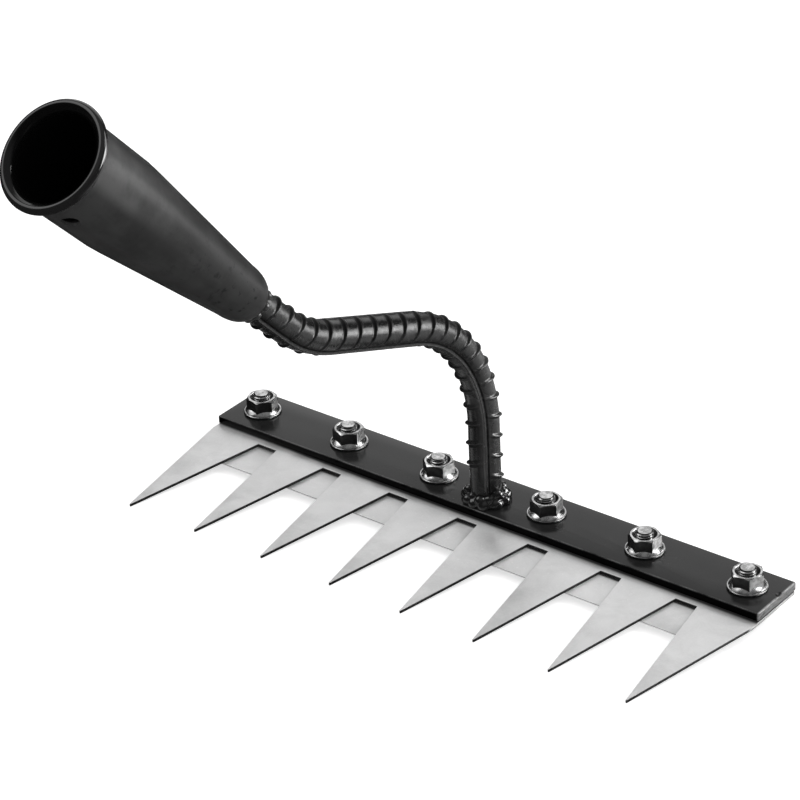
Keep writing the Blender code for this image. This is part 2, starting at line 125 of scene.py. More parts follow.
# %% Node helpers
class Shade:
    """A value on its way through a shader; sums and products of it add Math nodes."""

    def __init__(self, recipe, socket):
        self.recipe = recipe
        self.socket = socket

    def combine(self, operation, other, flipped=False, third=0.0):
        terms = (other, self, third) if flipped else (self, other, third)
        return self.recipe.node("ShaderNodeMath", {"operation": operation}, dict(enumerate(terms)))

    def __add__(self, other):
        return self.combine("ADD", other)

    def __sub__(self, other):
        return self.combine("SUBTRACT", other)

    def __rsub__(self, other):
        return self.combine("SUBTRACT", other, flipped=True)

    def __mul__(self, other):
        return self.combine("MULTIPLY", other)

    def highest(self, other):
        return self.combine("MAXIMUM", other)

    def power(self, other):
        return self.combine("POWER", other)

    def size(self):
        return self.combine("ABSOLUTE", 0.0)

    __radd__ = __add__
    __rmul__ = __mul__


class Recipe:
    """A node tree that is being filled in."""

    def __init__(self, tree):
        self.tree = tree

    def node(self, kind, settings=None, inputs=None, output=0):
        """Add any node: its settings first, then the values or links of its sockets."""
        made = self.tree.nodes.new(kind)
        for key, value in (settings or {}).items():
            setattr(made, key, value)
        for key, value in (inputs or {}).items():
            self.feed(made.inputs[key], value)
        return Shade(self, made.outputs[output])

    def feed(self, socket, value):
        """Link a shade to a socket, or write a plain value on it."""
        if isinstance(value, Shade):
            self.tree.links.new(value.socket, socket)
        else:
            socket.default_value = value

    def split(self, vector):
        """The X, Y and Z of a vector."""
        first = self.node("ShaderNodeSeparateXYZ", None, {0: vector})
        return [Shade(self, output) for output in first.socket.node.outputs]

    def rise(self, value, low, high, to_low=0.0, to_high=1.0):
        """A soft step from one level to another while the value goes from low to high."""
        inputs = {0: value, 1: low, 2: high, 3: to_low, 4: to_high}
        return self.node("ShaderNodeMapRange", {"interpolation_type": "SMOOTHSTEP"}, inputs)

    def near(self, value, edge, reach, stop=0.1 * MM):
        """0 up to a reach below an edge, and 1 at the edge."""
        return self.rise(value, edge - reach, edge - stop)

    def blend(self, share, first, second):
        """Two colours mixed by a share."""
        inputs = {0: share, 6: self.grey(first), 7: self.grey(second)}
        return self.node("ShaderNodeMix", {"data_type": "RGBA"}, inputs, output=2)

    def grey(self, level):
        """A plain number as a neutral colour."""
        return (level, level, level, 1) if isinstance(level, (int, float)) else level


class Finish(Recipe):
    """A material being made, on the coordinates of the level bar or of a piece on it."""

    def __init__(self, name, piece=Matrix(), **constants):
        self.material = bpy.data.materials.new(name)
        self.material.use_nodes = True
        super().__init__(self.material.node_tree)
        self.shader = self.tree.nodes["Principled BSDF"]
        for key, value in constants.items():
            self.shader.inputs[key.replace("_", " ")].default_value = value
        flat = (LAID_DOWN @ piece).inverted()
        place = self.node("ShaderNodeTexCoord", output=3)
        inputs = {"Vector": place, "Location": flat.translation, "Rotation": flat.to_euler()}
        self.where = self.node("ShaderNodeMapping", None, inputs)

    def noise(self, scale, detail=2.0, roughness=0.5, distortion=0.0):
        """Cloudy values round a half, by clouds per metre: one number, or one for each axis."""
        where = self.where
        if isinstance(scale, tuple):
            where = self.node("ShaderNodeVectorMath", {"operation": "MULTIPLY"}, {0: where, 1: scale})
            scale = 1
        inputs = {"Vector": where, "Scale": scale, "Detail": detail}
        inputs.update({"Roughness": roughness, "Distortion": distortion})
        return self.node("ShaderNodeTexNoise", None, inputs)

    def paint(self, **varying):
        """Feed what changes over the surface into the shader."""
        for key, value in varying.items():
            self.feed(self.shader.inputs[key.replace("_", " ")], value)

    def bump(self, height, distance, strength=1.0):
        """Raise the surface by a height, in shares of a distance."""
        inputs = {"Height": height, "Distance": distance, "Strength": strength}
        self.feed(self.shader.inputs["Normal"], self.node("ShaderNodeBump", None, inputs))


print("node helpers ready")

# %% [markdown]
# Black paint on the bar
# The flat bar has a smooth gloss coat that mirrors the nuts. It has a fine orange peel and a few dull
# clouds, and it is rubbed thin along the edges and off the right end, where grey steel shows. The wear is a
# mask made from the distance to the edges, broken up by noise, so it looks rubbed and not drawn. The narrow
# front and back faces would mirror the pale blades, so black metal is painted there as shade in place of
# the coat.

# %% Bar paint
BARE_STEEL = 0.30
EDGE_WEAR = 0.75 * MM
TOP_WEAR = 0.8 * MM
END_WEAR = 1.1 * MM
PAINTED_SHADE_EDGE = 0.5 * MM


def make_bar_paint():
    finish = Finish("bar_paint", IOR=1.45, Specular_IOR_Level=0.28)
    x, y, z = finish.split(finish.where)
    clouds = finish.noise(90, detail=3)
    grain = finish.noise(2600, detail=2)
    side = finish.near(y.size(), BAR_WIDTH / 2, EDGE_WEAR)
    top = finish.near(z, BAR_THICKNESS, TOP_WEAR)
    end = finish.near(x, BAR_LENGTH / 2, END_WEAR, 0.15 * MM)
    scratch = finish.noise((60, 260, 900), detail=4, roughness=0.65)
    rubbed = side * top * finish.rise(clouds + 0.5 * grain, 0.55, 0.95, 0.05, 0.40)
    worn_end = end * finish.rise(scratch + 0.25 * clouds, 0.36, 0.74, 0.12, 0.85)
    ridge = end * top * finish.rise(scratch, 0.3, 0.5, 0.4, 1.0)
    worn = rubbed.highest(worn_end).highest(ridge)
    black = finish.blend(finish.rise(clouds, 0.3, 0.7), 0.013, 0.017)
    # painted shade: near the front and back edges the colour is near-black, and below the top it is metal
    black = finish.blend(finish.near(y.size(), BAR_WIDTH / 2, PAINTED_SHADE_EDGE), black, 0.003)
    finish.paint(
        Base_Color=finish.blend(worn, black, BARE_STEEL),
        Metallic=(0.3 * worn).highest(side * (1 - top) * (1 - worn)),
        Roughness=finish.rise(clouds, 0.3, 0.75, 0.16, 0.24) + 0.3 * worn,
    )
    finish.bump(0.7 * finish.noise(700, detail=1) + 0.3 * grain, 0.02 * MM, 0.8)
    return finish.material


BAR_PAINT = make_bar_paint()
print("made", BAR_PAINT.name)

# %% [markdown]
# Black paint on the round pieces
# The ribbed neck and the two welds were brushed thickly, so their coat is glossy and a little lumpy, with
# dull dry patches. One function makes all three paints, which differ only in numbers. The right side of the
# neck's upright is painted lighter, partly as dust and partly as the light that falls on that side. On the
# neck, painted shade sits beside the ribs as dull black: the neck's mesh carries that as a value at each
# point, which the paint reads.

# %% Round paints
DUST_AND_LIGHT_ACROSS = (0.5 * MM, 5 * MM)
DUST_AND_LIGHT_UPPER = (85 * MM, 60 * MM)
DUST_AND_LIGHT_LOWER = (14 * MM, 22 * MM)


def make_round_paint(name, level, gloss, dry_gloss, peel, peel_scale, shine, rib_shade_strength=0.0, dust_and_light=0.01):
    finish = Finish(name, IOR=1.45, Specular_IOR_Level=shine)
    clouds = finish.noise(60, detail=3, roughness=0.6)
    grain = finish.noise(1800, detail=3)
    specks = finish.rise(finish.noise(900, detail=1), 0.70, 0.78)
    dry = finish.rise(clouds, 0.42, 0.68)
    coat = finish.blend(0.5 * dry + 0.25 * specks, level, 1.8 * level)
    # painted shade beside the ribs: near-black, metallic and rough, so it shows no shine
    rib_shade = rib_shade_strength * finish.node("ShaderNodeAttribute", {"attribute_name": "rib_shade"}, output=2)
    x, _, z = finish.split(finish.where)
    # painted light: the right side of the upright is lighter, partly as dust and partly as the light that
    # falls there
    painted_light = finish.rise(x, *DUST_AND_LIGHT_ACROSS) * finish.rise(z, *DUST_AND_LIGHT_UPPER) * finish.rise(z, *DUST_AND_LIGHT_LOWER)
    coat = finish.blend(painted_light * finish.rise(grain, 0.3, 0.7, 0.6, 1.0), coat, dust_and_light)
    finish.paint(
        Base_Color=finish.blend(rib_shade, coat, 0.002),
        Metallic=0.8 * rib_shade,
        Roughness=gloss + (dry_gloss - gloss) * dry + 0.1 * (grain - 0.5) + 0.45 * rib_shade,
    )
    lumps = finish.noise(peel_scale, detail=2, roughness=0.55)
    finish.bump(0.85 * lumps + 0.15 * grain, peel, 0.9)
    return finish.material


NECK_PAINT = make_round_paint(
    "neck_paint", level=0.012, gloss=0.20, dry_gloss=0.40, peel=0.16 * MM, peel_scale=560, shine=0.55,
    rib_shade_strength=0.95, dust_and_light=0.045,
)
WELD_PAINT = make_round_paint(
    "weld_paint", level=0.008, gloss=0.12, dry_gloss=0.20, peel=0.10 * MM, peel_scale=300, shine=0.9
)
COLLAR_PAINT = make_round_paint(
    "collar_paint", level=0.040, gloss=0.25, dry_gloss=0.40, peel=0.10 * MM, peel_scale=650, shine=0.5
)
print("made", NECK_PAINT.name, WELD_PAINT.name, "and", COLLAR_PAINT.name)

# %% [markdown]
# Blade steel
# The two blades are pale sheet steel. Rolling leaves faint lines along the sheet, and handling leaves
# clouds and fine bright specks. The toothed one was cut out with a flame or a laser, and its cut faces are
# painted near-black: partly the burn of the cut, partly painted shade, as they face away from the light.
# The mask for them is how far a face is turned away from level, and it is weaker on the sheet's two ends.
# The straight one has a pale ground edge. A dark band of painted shadow lies on top of the toothed blade
# along the bar, and on top of the straight one at the slots' ends, less far on the left.

# %% Blade steel
SHEET_END = (BAR_LENGTH / 2 - 0.7 * MM, BAR_LENGTH / 2 - 0.2 * MM)
SHADE_SPAN = (-140 * MM, -60 * MM)


def make_blade_steel(name, cut_level, shade_edge, shade_width):
    finish = Finish(name)
    clouds = finish.noise(55, detail=4, roughness=0.6, distortion=0.4)
    patches = finish.noise(16, detail=2)
    lines = finish.noise((120, 2600, 400), detail=3)
    frost = finish.noise(1500, detail=3, roughness=0.7)
    mottle = finish.rise(0.55 * clouds + 0.3 * patches + 0.15 * frost, 0.36, 0.62)
    spots = finish.noise(700, detail=2)
    specks = finish.rise(spots, 0.66, 0.74) * finish.rise(patches, 0.45, 0.6)
    facing = finish.split(finish.node("ShaderNodeNewGeometry", output=1))[2]
    x, y, _ = finish.split(finish.where)
    # painted shadow: a dark band on the top face along the edge of the part above it, reaching less far on
    # the left
    shade_reach = finish.rise(x, *SHADE_SPAN, 0.45 * shade_width, shade_width)
    shadow_band = finish.rise(y - shade_edge + shade_reach, 0, 0.85 * shade_width) * finish.rise(facing, 0.5, 0.8)
    # the cut faces; on the toothed blade they are painted near-black, partly as shade
    cut = finish.rise(facing.size(), 0.72, 0.85, 1.0, 0.0) * finish.rise(x.size(), *SHEET_END, 1.0, 0.4)
    steel = finish.blend(0.8 * specks, finish.blend(mottle, 0.67, 0.86), 0.95)
    finish.paint(
        Base_Color=finish.blend(0.95 * shadow_band, finish.blend(cut, steel, cut_level), 0.008),
        Metallic=0.6 - 0.5 * cut.highest(shadow_band),
        Roughness=finish.rise(mottle + 0.5 * lines, 0.3, 1.2, 0.38, 0.55) + 0.1 * cut,
    )
    finish.bump(0.5 * lines + 0.3 * frost + 0.2 * clouds, 0.02 * MM, 0.7)
    return finish.material


BAR_FRONT = -BAR_WIDTH / 2
# its cut faces are near-black, partly painted shade
TOOTH_STEEL = make_blade_steel("toothed_steel", cut_level=0.008, shade_edge=BAR_FRONT, shade_width=2.4 * MM)
SLOT_END = BAR_FRONT - ROOT_STRIP
STRIP_STEEL = make_blade_steel("strip_steel", cut_level=0.75, shade_edge=SLOT_END, shade_width=1.5 * MM)
print("made", TOOTH_STEEL.name, "and", STRIP_STEEL.name)

# %% [markdown]
# Zinc plate
# Nuts and bolts have a bright, uneven plate. Painted shade darkens the mouth of each nut and the bottom of
# the thread, and the side faces, most of all the front ones. The mouth and the thread bottom lie at known
# distances from the axis of a bolt, and the bolts repeat on both sides of the middle, so one sum folds all
# six axes into one.

# %% Zinc
BOLT_MIDDLE_HALF = 30 * MM
BOLT_PITCH = 52.5 * MM
BOLT_RADIUS = 4 * MM
THREAD_DEPTH = 0.72 * MM
NUT_HEIGHT = 8 * MM
MOUTH_RADIUS = 5.5 * MM
MOUTH_DEPTH = 1.5 * MM
BOLT_END = (3.0 * MM, 3.15 * MM)
NUT_SIDES = (6.1 * MM, 6.3 * MM)


def make_zinc():
    finish = Finish("zinc_finish", Metallic=1.0)
    x, y, z = finish.split(finish.where)
    beside = (x.size() - BOLT_MIDDLE_HALF).combine("WRAP", BOLT_PITCH / 2, third=-BOLT_PITCH / 2)
    radius = (beside * beside + y * y).power(0.5)
    # painted shade at the bottom of the thread and in the nut's mouth
    deep, shallow = BOLT_RADIUS - 0.9 * THREAD_DEPTH, BOLT_RADIUS - 0.4 * THREAD_DEPTH
    in_thread = finish.rise(radius, deep, shallow, 1.0, 0.0) * finish.rise(radius, *BOLT_END)
    in_mouth = finish.rise(radius, MOUTH_RADIUS - 0.15 * MM, MOUTH_RADIUS + 0.02 * MM, 1.0, 0.0)
    in_mouth = 0.8 * in_mouth * finish.rise(radius, BOLT_RADIUS + 0.02 * MM, BOLT_RADIUS + 0.12 * MM)
    above_blades = finish.rise(z, -1 * MM, 0)
    painted_shade = above_blades * in_thread.highest(in_mouth)
    clouds = finish.noise(330, detail=4, roughness=0.65)
    grain = finish.noise(2400, detail=2)
    dull = finish.rise(clouds, 0.36, 0.64)
    facing = finish.split(finish.node("ShaderNodeNewGeometry", output=1))
    # painted shade on the side faces, most of all the front ones
    side = finish.rise(facing[2].size(), 0.20, 0.40, 1.0, 0.0) * finish.rise(radius, *NUT_SIDES)
    front_shade = finish.rise(facing[1], -0.60, -0.40, 0.9, 0.0)
    side_shade = front_shade.highest(finish.rise(facing[1], 0.04, 0.18, 0.0, 0.5))
    painted_shade = painted_shade.highest(side * side_shade)
    rough = finish.rise(dull + 0.3 * grain, 0.0, 1.3, 0.12, 0.28) + 0.2 * painted_shade
    finish.paint(
        Base_Color=finish.blend(painted_shade, finish.blend(dull, 0.60, 0.30), 0.04),
        Roughness=rough + 0.34 * side * (1 - side_shade),
    )
    finish.bump(0.7 * clouds + 0.3 * grain, 0.13 * MM, 0.9)
    return finish.material


ZINC = make_zinc()
print("made", ZINC.name)

# %% [markdown]
# Working by hand, in code
# The modelling below uses the same operators as a person at the screen: add a primitive, go into edit mode,
# pick edges, and extrude, bevel, bisect or spin them. An operator acts on all that is selected, so
# everything is deselected before a new piece is added.

# %% Modelling helpers
def deselect():
    """Leave edit mode and select nothing."""
    if bpy.context.object and bpy.context.object.mode != "OBJECT":
        bpy.ops.object.mode_set(mode="OBJECT")
    bpy.ops.object.select_all(action="DESELECT")


def work_on(piece, editing=False):
    """Select this piece alone, and all of its mesh where it is edited next."""
    deselect()
    piece.select_set(True)
    bpy.context.view_layer.objects.active = piece
    if editing:
        bpy.ops.object.mode_set(mode="EDIT")
        bpy.ops.mesh.select_all(action="SELECT")


def added(name):
    """Name the primitive just added, and set its size and place into its mesh."""
    piece = bpy.context.object
    piece.name = name
    bpy.ops.object.transform_apply(location=True, rotation=True, scale=True)
    bpy.ops.object.mode_set(mode="EDIT")
    bpy.ops.mesh.select_mode(type="VERT")
    bpy.ops.mesh.select_all(action="SELECT")
    return piece


def add_block(name, low, high):
    """A box between two corners, in edit mode."""
    deselect()
    middle = [(a + b) / 2 for a, b in zip(low, high)]
    bpy.ops.mesh.primitive_cube_add(size=1, location=middle)
    bpy.context.object.scale = [b - a for a, b in zip(low, high)]
    return added(name)


def add_round(name, radius, low, high, sides, middle=(0, 0)):
    """An upright prism or cylinder between two levels, in edit mode."""
    deselect()
    bpy.ops.mesh.primitive_cylinder_add(
        vertices=sides, radius=radius, depth=high - low, location=(*middle, (low + high) / 2)
    )
    return added(name)


def pick_edges(piece, test):
    """Select the edges that pass a test of their middle and their two ends."""
    bpy.ops.mesh.select_mode(type="EDGE")
    bpy.ops.mesh.select_all(action="DESELECT")
    shape = bmesh.from_edit_mesh(piece.data)
    for edge in shape.edges:
        ends = [end.co for end in edge.verts]
        if test((ends[0] + ends[1]) / 2, ends):
            edge.select_set(True)
    shape.select_flush_mode()
    bmesh.update_edit_mesh(piece.data)


def carry_out(piece, kind, **settings):
    """Add a modifier with these settings and apply it."""
    work_on(piece)
    modifier = piece.modifiers.new(kind.lower(), kind)
    for key, value in settings.items():
        setattr(modifier, key, value)
    bpy.ops.object.modifier_apply(modifier=modifier.name)


def combine(piece, tool, operation):
    """Cut, join or keep the common part with another solid, which is used up."""
    carry_out(piece, "BOOLEAN", object=tool, operation=operation, solver="EXACT")
    bpy.data.objects.remove(tool, do_unlink=True)


def tidy(piece, merge=0.001 * MM):
    """Merge doubled points and turn every face outwards."""
    work_on(piece, editing=True)
    bpy.ops.mesh.remove_doubles(threshold=merge)
    bpy.ops.mesh.normals_make_consistent(inside=False)
    bpy.ops.object.mode_set(mode="OBJECT")


def draw_line(name, outline):
    """Draw an outline beside the Z axis, point by point, and stay in edit mode."""
    deselect()
    bpy.ops.mesh.primitive_plane_add(size=MM)
    piece = added(name)
    bpy.ops.mesh.merge(type="CENTER")
    points = [Vector((radius, 0, height)) for radius, height in outline]
    bpy.ops.transform.translate(value=points[0])
    for before, after in zip(points, points[1:]):
        bpy.ops.mesh.extrude_vertices_move(TRANSFORM_OT_translate={"value": after - before})
    return piece


def lathe(name, outline, steps=96):
    """Spin an outline once round the Z axis."""
    piece = draw_line(name, outline)
    bpy.ops.mesh.select_all(action="SELECT")
    bpy.ops.mesh.spin(steps=steps, angle=2 * math.pi, center=(0, 0, 0), axis=(0, 0, 1))
    tidy(piece)
    return piece


def dress(piece, node, material, smooth=35):
    """Lay a piece down, give it its finish, and let it stand for its CAD part."""
    work_on(piece)
    bpy.ops.object.shade_smooth_by_angle(angle=math.radians(smooth))
    piece.data.transform(LAID_DOWN)
    piece.data.materials.clear()
    piece.data.materials.append(material)
    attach(piece, "root")
    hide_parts(node)
    print(piece.name, "stands for", node, "with", len(piece.data.polygons), "faces")


print("modelling helpers ready")

# %% [markdown]
# The mounting bar
# A length of flat bar, sheared to size and drilled. Its edges are rounded a little, and the top edge of the
# right end is chipped. It starts as a block, its edges are beveled, and drills and a small stone take the
# rest away.

# %% Mounting bar
HOLE_RADIUS = 4.5 * MM
BOLT_PLACES = sorted(side * (BOLT_MIDDLE_HALF + i * BOLT_PITCH) for side in (-1, 1) for i in range(3))
BAR_ROUND = 0.55 * MM
CHIP_PLACE = (149.3 * MM, 2.6 * MM, 5.6 * MM)
CHIP_RADIUS = 2.5 * MM
CHIP_STRETCH = (0.8, 1.15, 1)


def drill_bolt_holes(piece):
    """Drill the six bolt holes through a flat piece."""
    for x in BOLT_PLACES:
        drill = add_round("drill", HOLE_RADIUS, HEAD_BOTTOM, 2 * SEAT, sides=32, middle=(x, 0))
        combine(piece, drill, "DIFFERENCE")


def make_bar():
    half_length, half_width = BAR_LENGTH / 2, BAR_WIDTH / 2
    bar = add_block("bar_black", (-half_length, -half_width, 0), (half_length, half_width, BAR_THICKNESS))
    bpy.ops.mesh.bevel(offset=BAR_ROUND, segments=4, affect="EDGES")
    drill_bolt_holes(bar)
    deselect()
    bpy.ops.mesh.primitive_ico_sphere_add(subdivisions=2, radius=CHIP_RADIUS, location=CHIP_PLACE)
    stone = added("stone")
    bpy.ops.transform.resize(value=CHIP_STRETCH, center_override=CHIP_PLACE)
    combine(bar, stone, "DIFFERENCE")
    return bar


bar = make_bar()
dress(bar, "mounting_bar", BAR_PAINT)

# %% [markdown]
# The toothed blade
# One sheet, cut out with a flame or a laser. It starts as a flat strip that is bisected where each tooth
# begins. The front edges of the teeth are extruded forward, and each is squeezed to a point about its own
# middle. Then the outline gets its thickness, and a tiny bevel lets the cut edges catch the light.

# %% Toothed blade
TOOTH_COUNT = 8
TOOTH_BASE = 28 * MM
TOOTH_TIP = 0.6 * MM
BLADE_BACK = BAR_WIDTH / 2 - 1 * MM
EDGE_BREAK = 0.16 * MM
SHARP = math.radians(40)


def break_edges(piece):
    """Bevel the sharp edges of a sheet a little."""
    carry_out(piece, "BEVEL", width=EDGE_BREAK, segments=2, limit_method="ANGLE", angle_limit=SHARP)


def make_toothed_blade():
    pitch = (BAR_LENGTH - TOOTH_BASE) / (TOOTH_COUNT - 1)
    middles = [(i - (TOOTH_COUNT - 1) / 2) * pitch for i in range(TOOTH_COUNT)]
    root = SLOT_END
    tip = root - TOOTH_LENGTH
    deselect()
    bpy.ops.mesh.primitive_plane_add(size=1, location=(0, (root + BLADE_BACK) / 2, TOOTHED_TOP))
    bpy.context.object.scale = (BAR_LENGTH, BLADE_BACK - root, 1)
    blade = added("toothed_blade_pale")
    for middle in middles:
        for x in (middle - TOOTH_BASE / 2, middle + TOOTH_BASE / 2):
            if abs(x) < BAR_LENGTH / 2 - MM:
                bpy.ops.mesh.select_all(action="SELECT")
                bpy.ops.mesh.bisect(plane_co=(x, 0, 0), plane_no=(1, 0, 0))
    pick_edges(blade, lambda at, _: at.y < root + GAP and min(abs(at.x - m) for m in middles) < MM)
    bpy.ops.mesh.extrude_region_move(TRANSFORM_OT_translate={"value": (0, -TOOTH_LENGTH, 0)})
    for middle in middles:
        pick_edges(blade, lambda at, _: at.y < tip + GAP and abs(at.x - middle) < MM)
        squeeze = (TOOTH_TIP / TOOTH_BASE, 1, 1)
        bpy.ops.transform.resize(value=squeeze, center_override=(middle, tip, TOOTHED_TOP))
    bpy.ops.mesh.select_all(action="SELECT")
    bpy.ops.mesh.extrude_region_move(TRANSFORM_OT_translate={"value": (0, 0, -SHEET)})
    tidy(blade)
    drill_bolt_holes(blade)
    break_edges(blade)
    return blade


toothed_blade = make_toothed_blade()
dress(toothed_blade, "toothed_blade", TOOTH_STEEL)

# %% [markdown]
# The straight blade
# A plain strip under the toothed one. Its front edge cuts weeds between the teeth, so it is ground to a
# small slope: the lower front edge of a block is beveled wide, and the others only broken.

# %% Straight blade
STRAIGHT_REACH = 24.5 * MM
STRAIGHT_END_INSET = 6 * MM
GROUND_EDGE = 1.15 * MM


def make_straight_blade():
    half = BAR_LENGTH / 2 - STRAIGHT_END_INSET
    front = BAR_FRONT - STRAIGHT_REACH
    bottom = STRAIGHT_TOP - SHEET
    blade = add_block("straight_blade_pale", (-half, front, bottom), (half, BLADE_BACK, STRAIGHT_TOP))
    pick_edges(blade, lambda at, _: at.y < front + GAP and at.z < bottom + GAP)
    bpy.ops.mesh.bevel(offset=GROUND_EDGE, segments=1, affect="EDGES")
    drill_bolt_holes(blade)
    break_edges(blade)
    return blade


straight_blade = make_straight_blade()
dress(straight_blade, "straight_blade", STRIP_STEEL)

# %% [markdown]
# Bolts with real threads
# A bolt is a six-sided head and a threaded rod. The thread is one zigzag line that the Screw modifier turns
# round once while it climbs by one pitch: every turn then meets the next. Two flat cuts close the ends, and
# a turned shape with a cone at its tip trims it to length.

# %% Bolt
PITCH = 1.25 * MM
BOLT_LENGTH = 18 * MM
CORNER = WRENCH_SIZE / math.sqrt(3)
HEX_PAD = WRENCH_SIZE / 2 - HEAD_CHAMFER
CORNER_ROUND = 0.25 * MM
CORNER_FALL = math.radians(30)
HEX_TURN = math.radians(30)
TIP_CONE = 0.95 * MM
BOLT_TURNS = (60, 120, 180, 240, 300, 360)


def hexagon(name, low, high, pad=HEX_PAD, under=False):
    """A six-sided block whose corners are turned down on top, or underneath."""
    block = add_round(name, CORNER, low, high, sides=6)
    bpy.ops.transform.rotate(value=HEX_TURN, orient_axis="Z", center_override=(0, 0, 0))
    pick_edges(block, lambda _, ends: abs(ends[0].z - ends[1].z) > MM)
    bpy.ops.mesh.bevel(offset=CORNER_ROUND, segments=3, affect="EDGES")
    wide = CORNER + MM
    fall = (wide - pad) * math.tan(CORNER_FALL)
    if under:
        outline = [(0, low), (pad, low), (wide, low + fall), (wide, high + MM), (0, high + MM)]
    else:
        outline = [(0, low - MM), (wide, low - MM), (wide, high - fall), (pad, high), (0, high)]
    combine(block, lathe("turned", outline), "INTERSECT")
    return block


def threaded_rod(low, high):
    """A rod with an outside thread and a coned tip."""
    turns = int((high - low) / PITCH) + 3
    start = low - PITCH
    root = BOLT_RADIUS - THREAD_DEPTH
    tooth = ((root, 0.0), (root, 0.22), (BOLT_RADIUS, 0.54), (BOLT_RADIUS, 0.68))
    zigzag = [(radius, start + i * PITCH + share * PITCH) for i in range(turns) for radius, share in tooth]
    zigzag.append((root, start + turns * PITCH))
    rod = draw_line("rod", zigzag)
    carry_out(rod, "SCREW", axis="Z", steps=48, render_steps=48, screw_offset=PITCH, use_merge_vertices=True)
    tidy(rod, 0.01 * MM)
    bpy.ops.object.mode_set(mode="EDIT")
    for level, below in ((low, True), (high, False)):
        bpy.ops.mesh.select_all(action="SELECT")
        bpy.ops.mesh.bisect(
            plane_co=(0, 0, level), plane_no=(0, 0, 1), use_fill=True,
            clear_inner=below, clear_outer=not below,
        )
    tidy(rod, 0.01 * MM)
    wide = BOLT_RADIUS + MM
    outline = [(0, low - MM), (wide, low - MM), (wide, high - wide + BOLT_RADIUS - TIP_CONE)]
    outline += [(BOLT_RADIUS - TIP_CONE, high), (0, high)]
    combine(rod, lathe("trim", outline, steps=48), "INTERSECT")
    return rod


def set_out(master, name, node, turns, smooth):
    """Set a turned copy with its own mesh over each bolt hole, and dress it."""
    for number, (x, turned) in enumerate(zip(BOLT_PLACES, turns), start=1):
        twin = master.copy()
        twin.data = master.data.copy()
        twin.name = name.format(number)
        bpy.context.scene.collection.objects.link(twin)
        twin.data.transform(Matrix.Translation((x, 0, 0)) @ Matrix.Rotation(math.radians(turned), 4, "Z"))
        dress(twin, f"{node}_{number}", ZINC, smooth)
    bpy.data.objects.remove(master, do_unlink=True)


def make_bolt():
    """Join a head and a rod. The solver drops the head now and then, and the bolt is then made again."""
    for _ in range(20):
        bolt = hexagon("bolt_master", HEAD_BOTTOM, HEAD_TOP, under=True)
        combine(bolt, threaded_rod(HEAD_TOP - MM, HEAD_TOP + BOLT_LENGTH), "UNION")
        heights = [vertex.co.z for vertex in bolt.data.vertices]
        if max(heights) - min(heights) > BOLT_LENGTH + HEAD_HEIGHT / 2:
            return bolt
        bpy.data.objects.remove(bolt, do_unlink=True)
    raise RuntimeError("the bolt's head and rod didn't join")


set_out(make_bolt(), "bolt_{}_threaded", "bolt", BOLT_TURNS, smooth=25)

# %% [markdown]
# Flange nuts
# A flange nut carries its own washer. The hexagon and the flange are joined, and then a countersink opens
# the mouth, which leaves the thin bright ring round each bolt end. Each nut stopped at its own turn when it
# was tightened, as read from the photograph.

# %% Nuts
NUT_TURNS = (50, 41, 22, 44, 30, 8)
FLANGE_RADIUS = 8.95 * MM
FLANGE_RIM = 1.1 * MM
FLANGE_TOP = 2.9 * MM
NUT_BORE = 4.25 * MM
NUT_PAD = HEX_PAD + 0.25 * MM


def make_nut():
    top = SEAT + NUT_HEIGHT
    nut = hexagon("nut_master", SEAT + FLANGE_RIM / 2, top, pad=NUT_PAD)
    outline = [
        (0, SEAT),
        (FLANGE_RADIUS - 0.30 * MM, SEAT),
        (FLANGE_RADIUS - 0.08 * MM, SEAT + 0.15 * MM),
        (FLANGE_RADIUS, SEAT + FLANGE_RIM * 0.45),
        (FLANGE_RADIUS - 0.10 * MM, SEAT + FLANGE_RIM * 0.85),
        (FLANGE_RADIUS - 0.40 * MM, SEAT + FLANGE_RIM),
        (FLANGE_RADIUS - 0.70 * MM, SEAT + FLANGE_RIM + 0.02 * MM),
        (FLANGE_RADIUS - 1.20 * MM, SEAT + FLANGE_RIM + 0.62 * MM),
        (WRENCH_SIZE / 2 + 0.6 * MM, SEAT + FLANGE_TOP - 0.65 * MM),
        (WRENCH_SIZE / 2 - 0.3 * MM, SEAT + FLANGE_TOP),
        (0, SEAT + FLANGE_TOP),
    ]
    combine(nut, lathe("flange", outline), "UNION")
    outline = [
        (0, SEAT - MM),
        (NUT_BORE, SEAT - MM),
        (NUT_BORE, top - MOUTH_DEPTH),
        (MOUTH_RADIUS - 0.30 * MM, top - 0.6 * MM),
        (MOUTH_RADIUS - 0.06 * MM, top - 0.2 * MM),
        (MOUTH_RADIUS + 0.10 * MM, top + 0.05 * MM),
        (0, top + 0.05 * MM),
    ]
    combine(nut, lathe("countersink", outline), "DIFFERENCE")
    return nut


set_out(make_nut(), "nut_{}_flanged", "flange_nut", NUT_TURNS, smooth=30)

# %% [markdown]
# The ribbed neck
# The neck is a length of ribbed reinforcing bar. The mill rolls it straight, with two long ribs and rows of
# crescents between them, and the smith bends it cold. It is made in the same order here: a plain rod is
# divided finely, its points are raised into ribs, and then the whole bar is bent along the line read from
# the photograph. From the first bend on, the ribs crowd toward the foot, so they drift that way. From here
# through the socket, a length without MM is in millimetres.

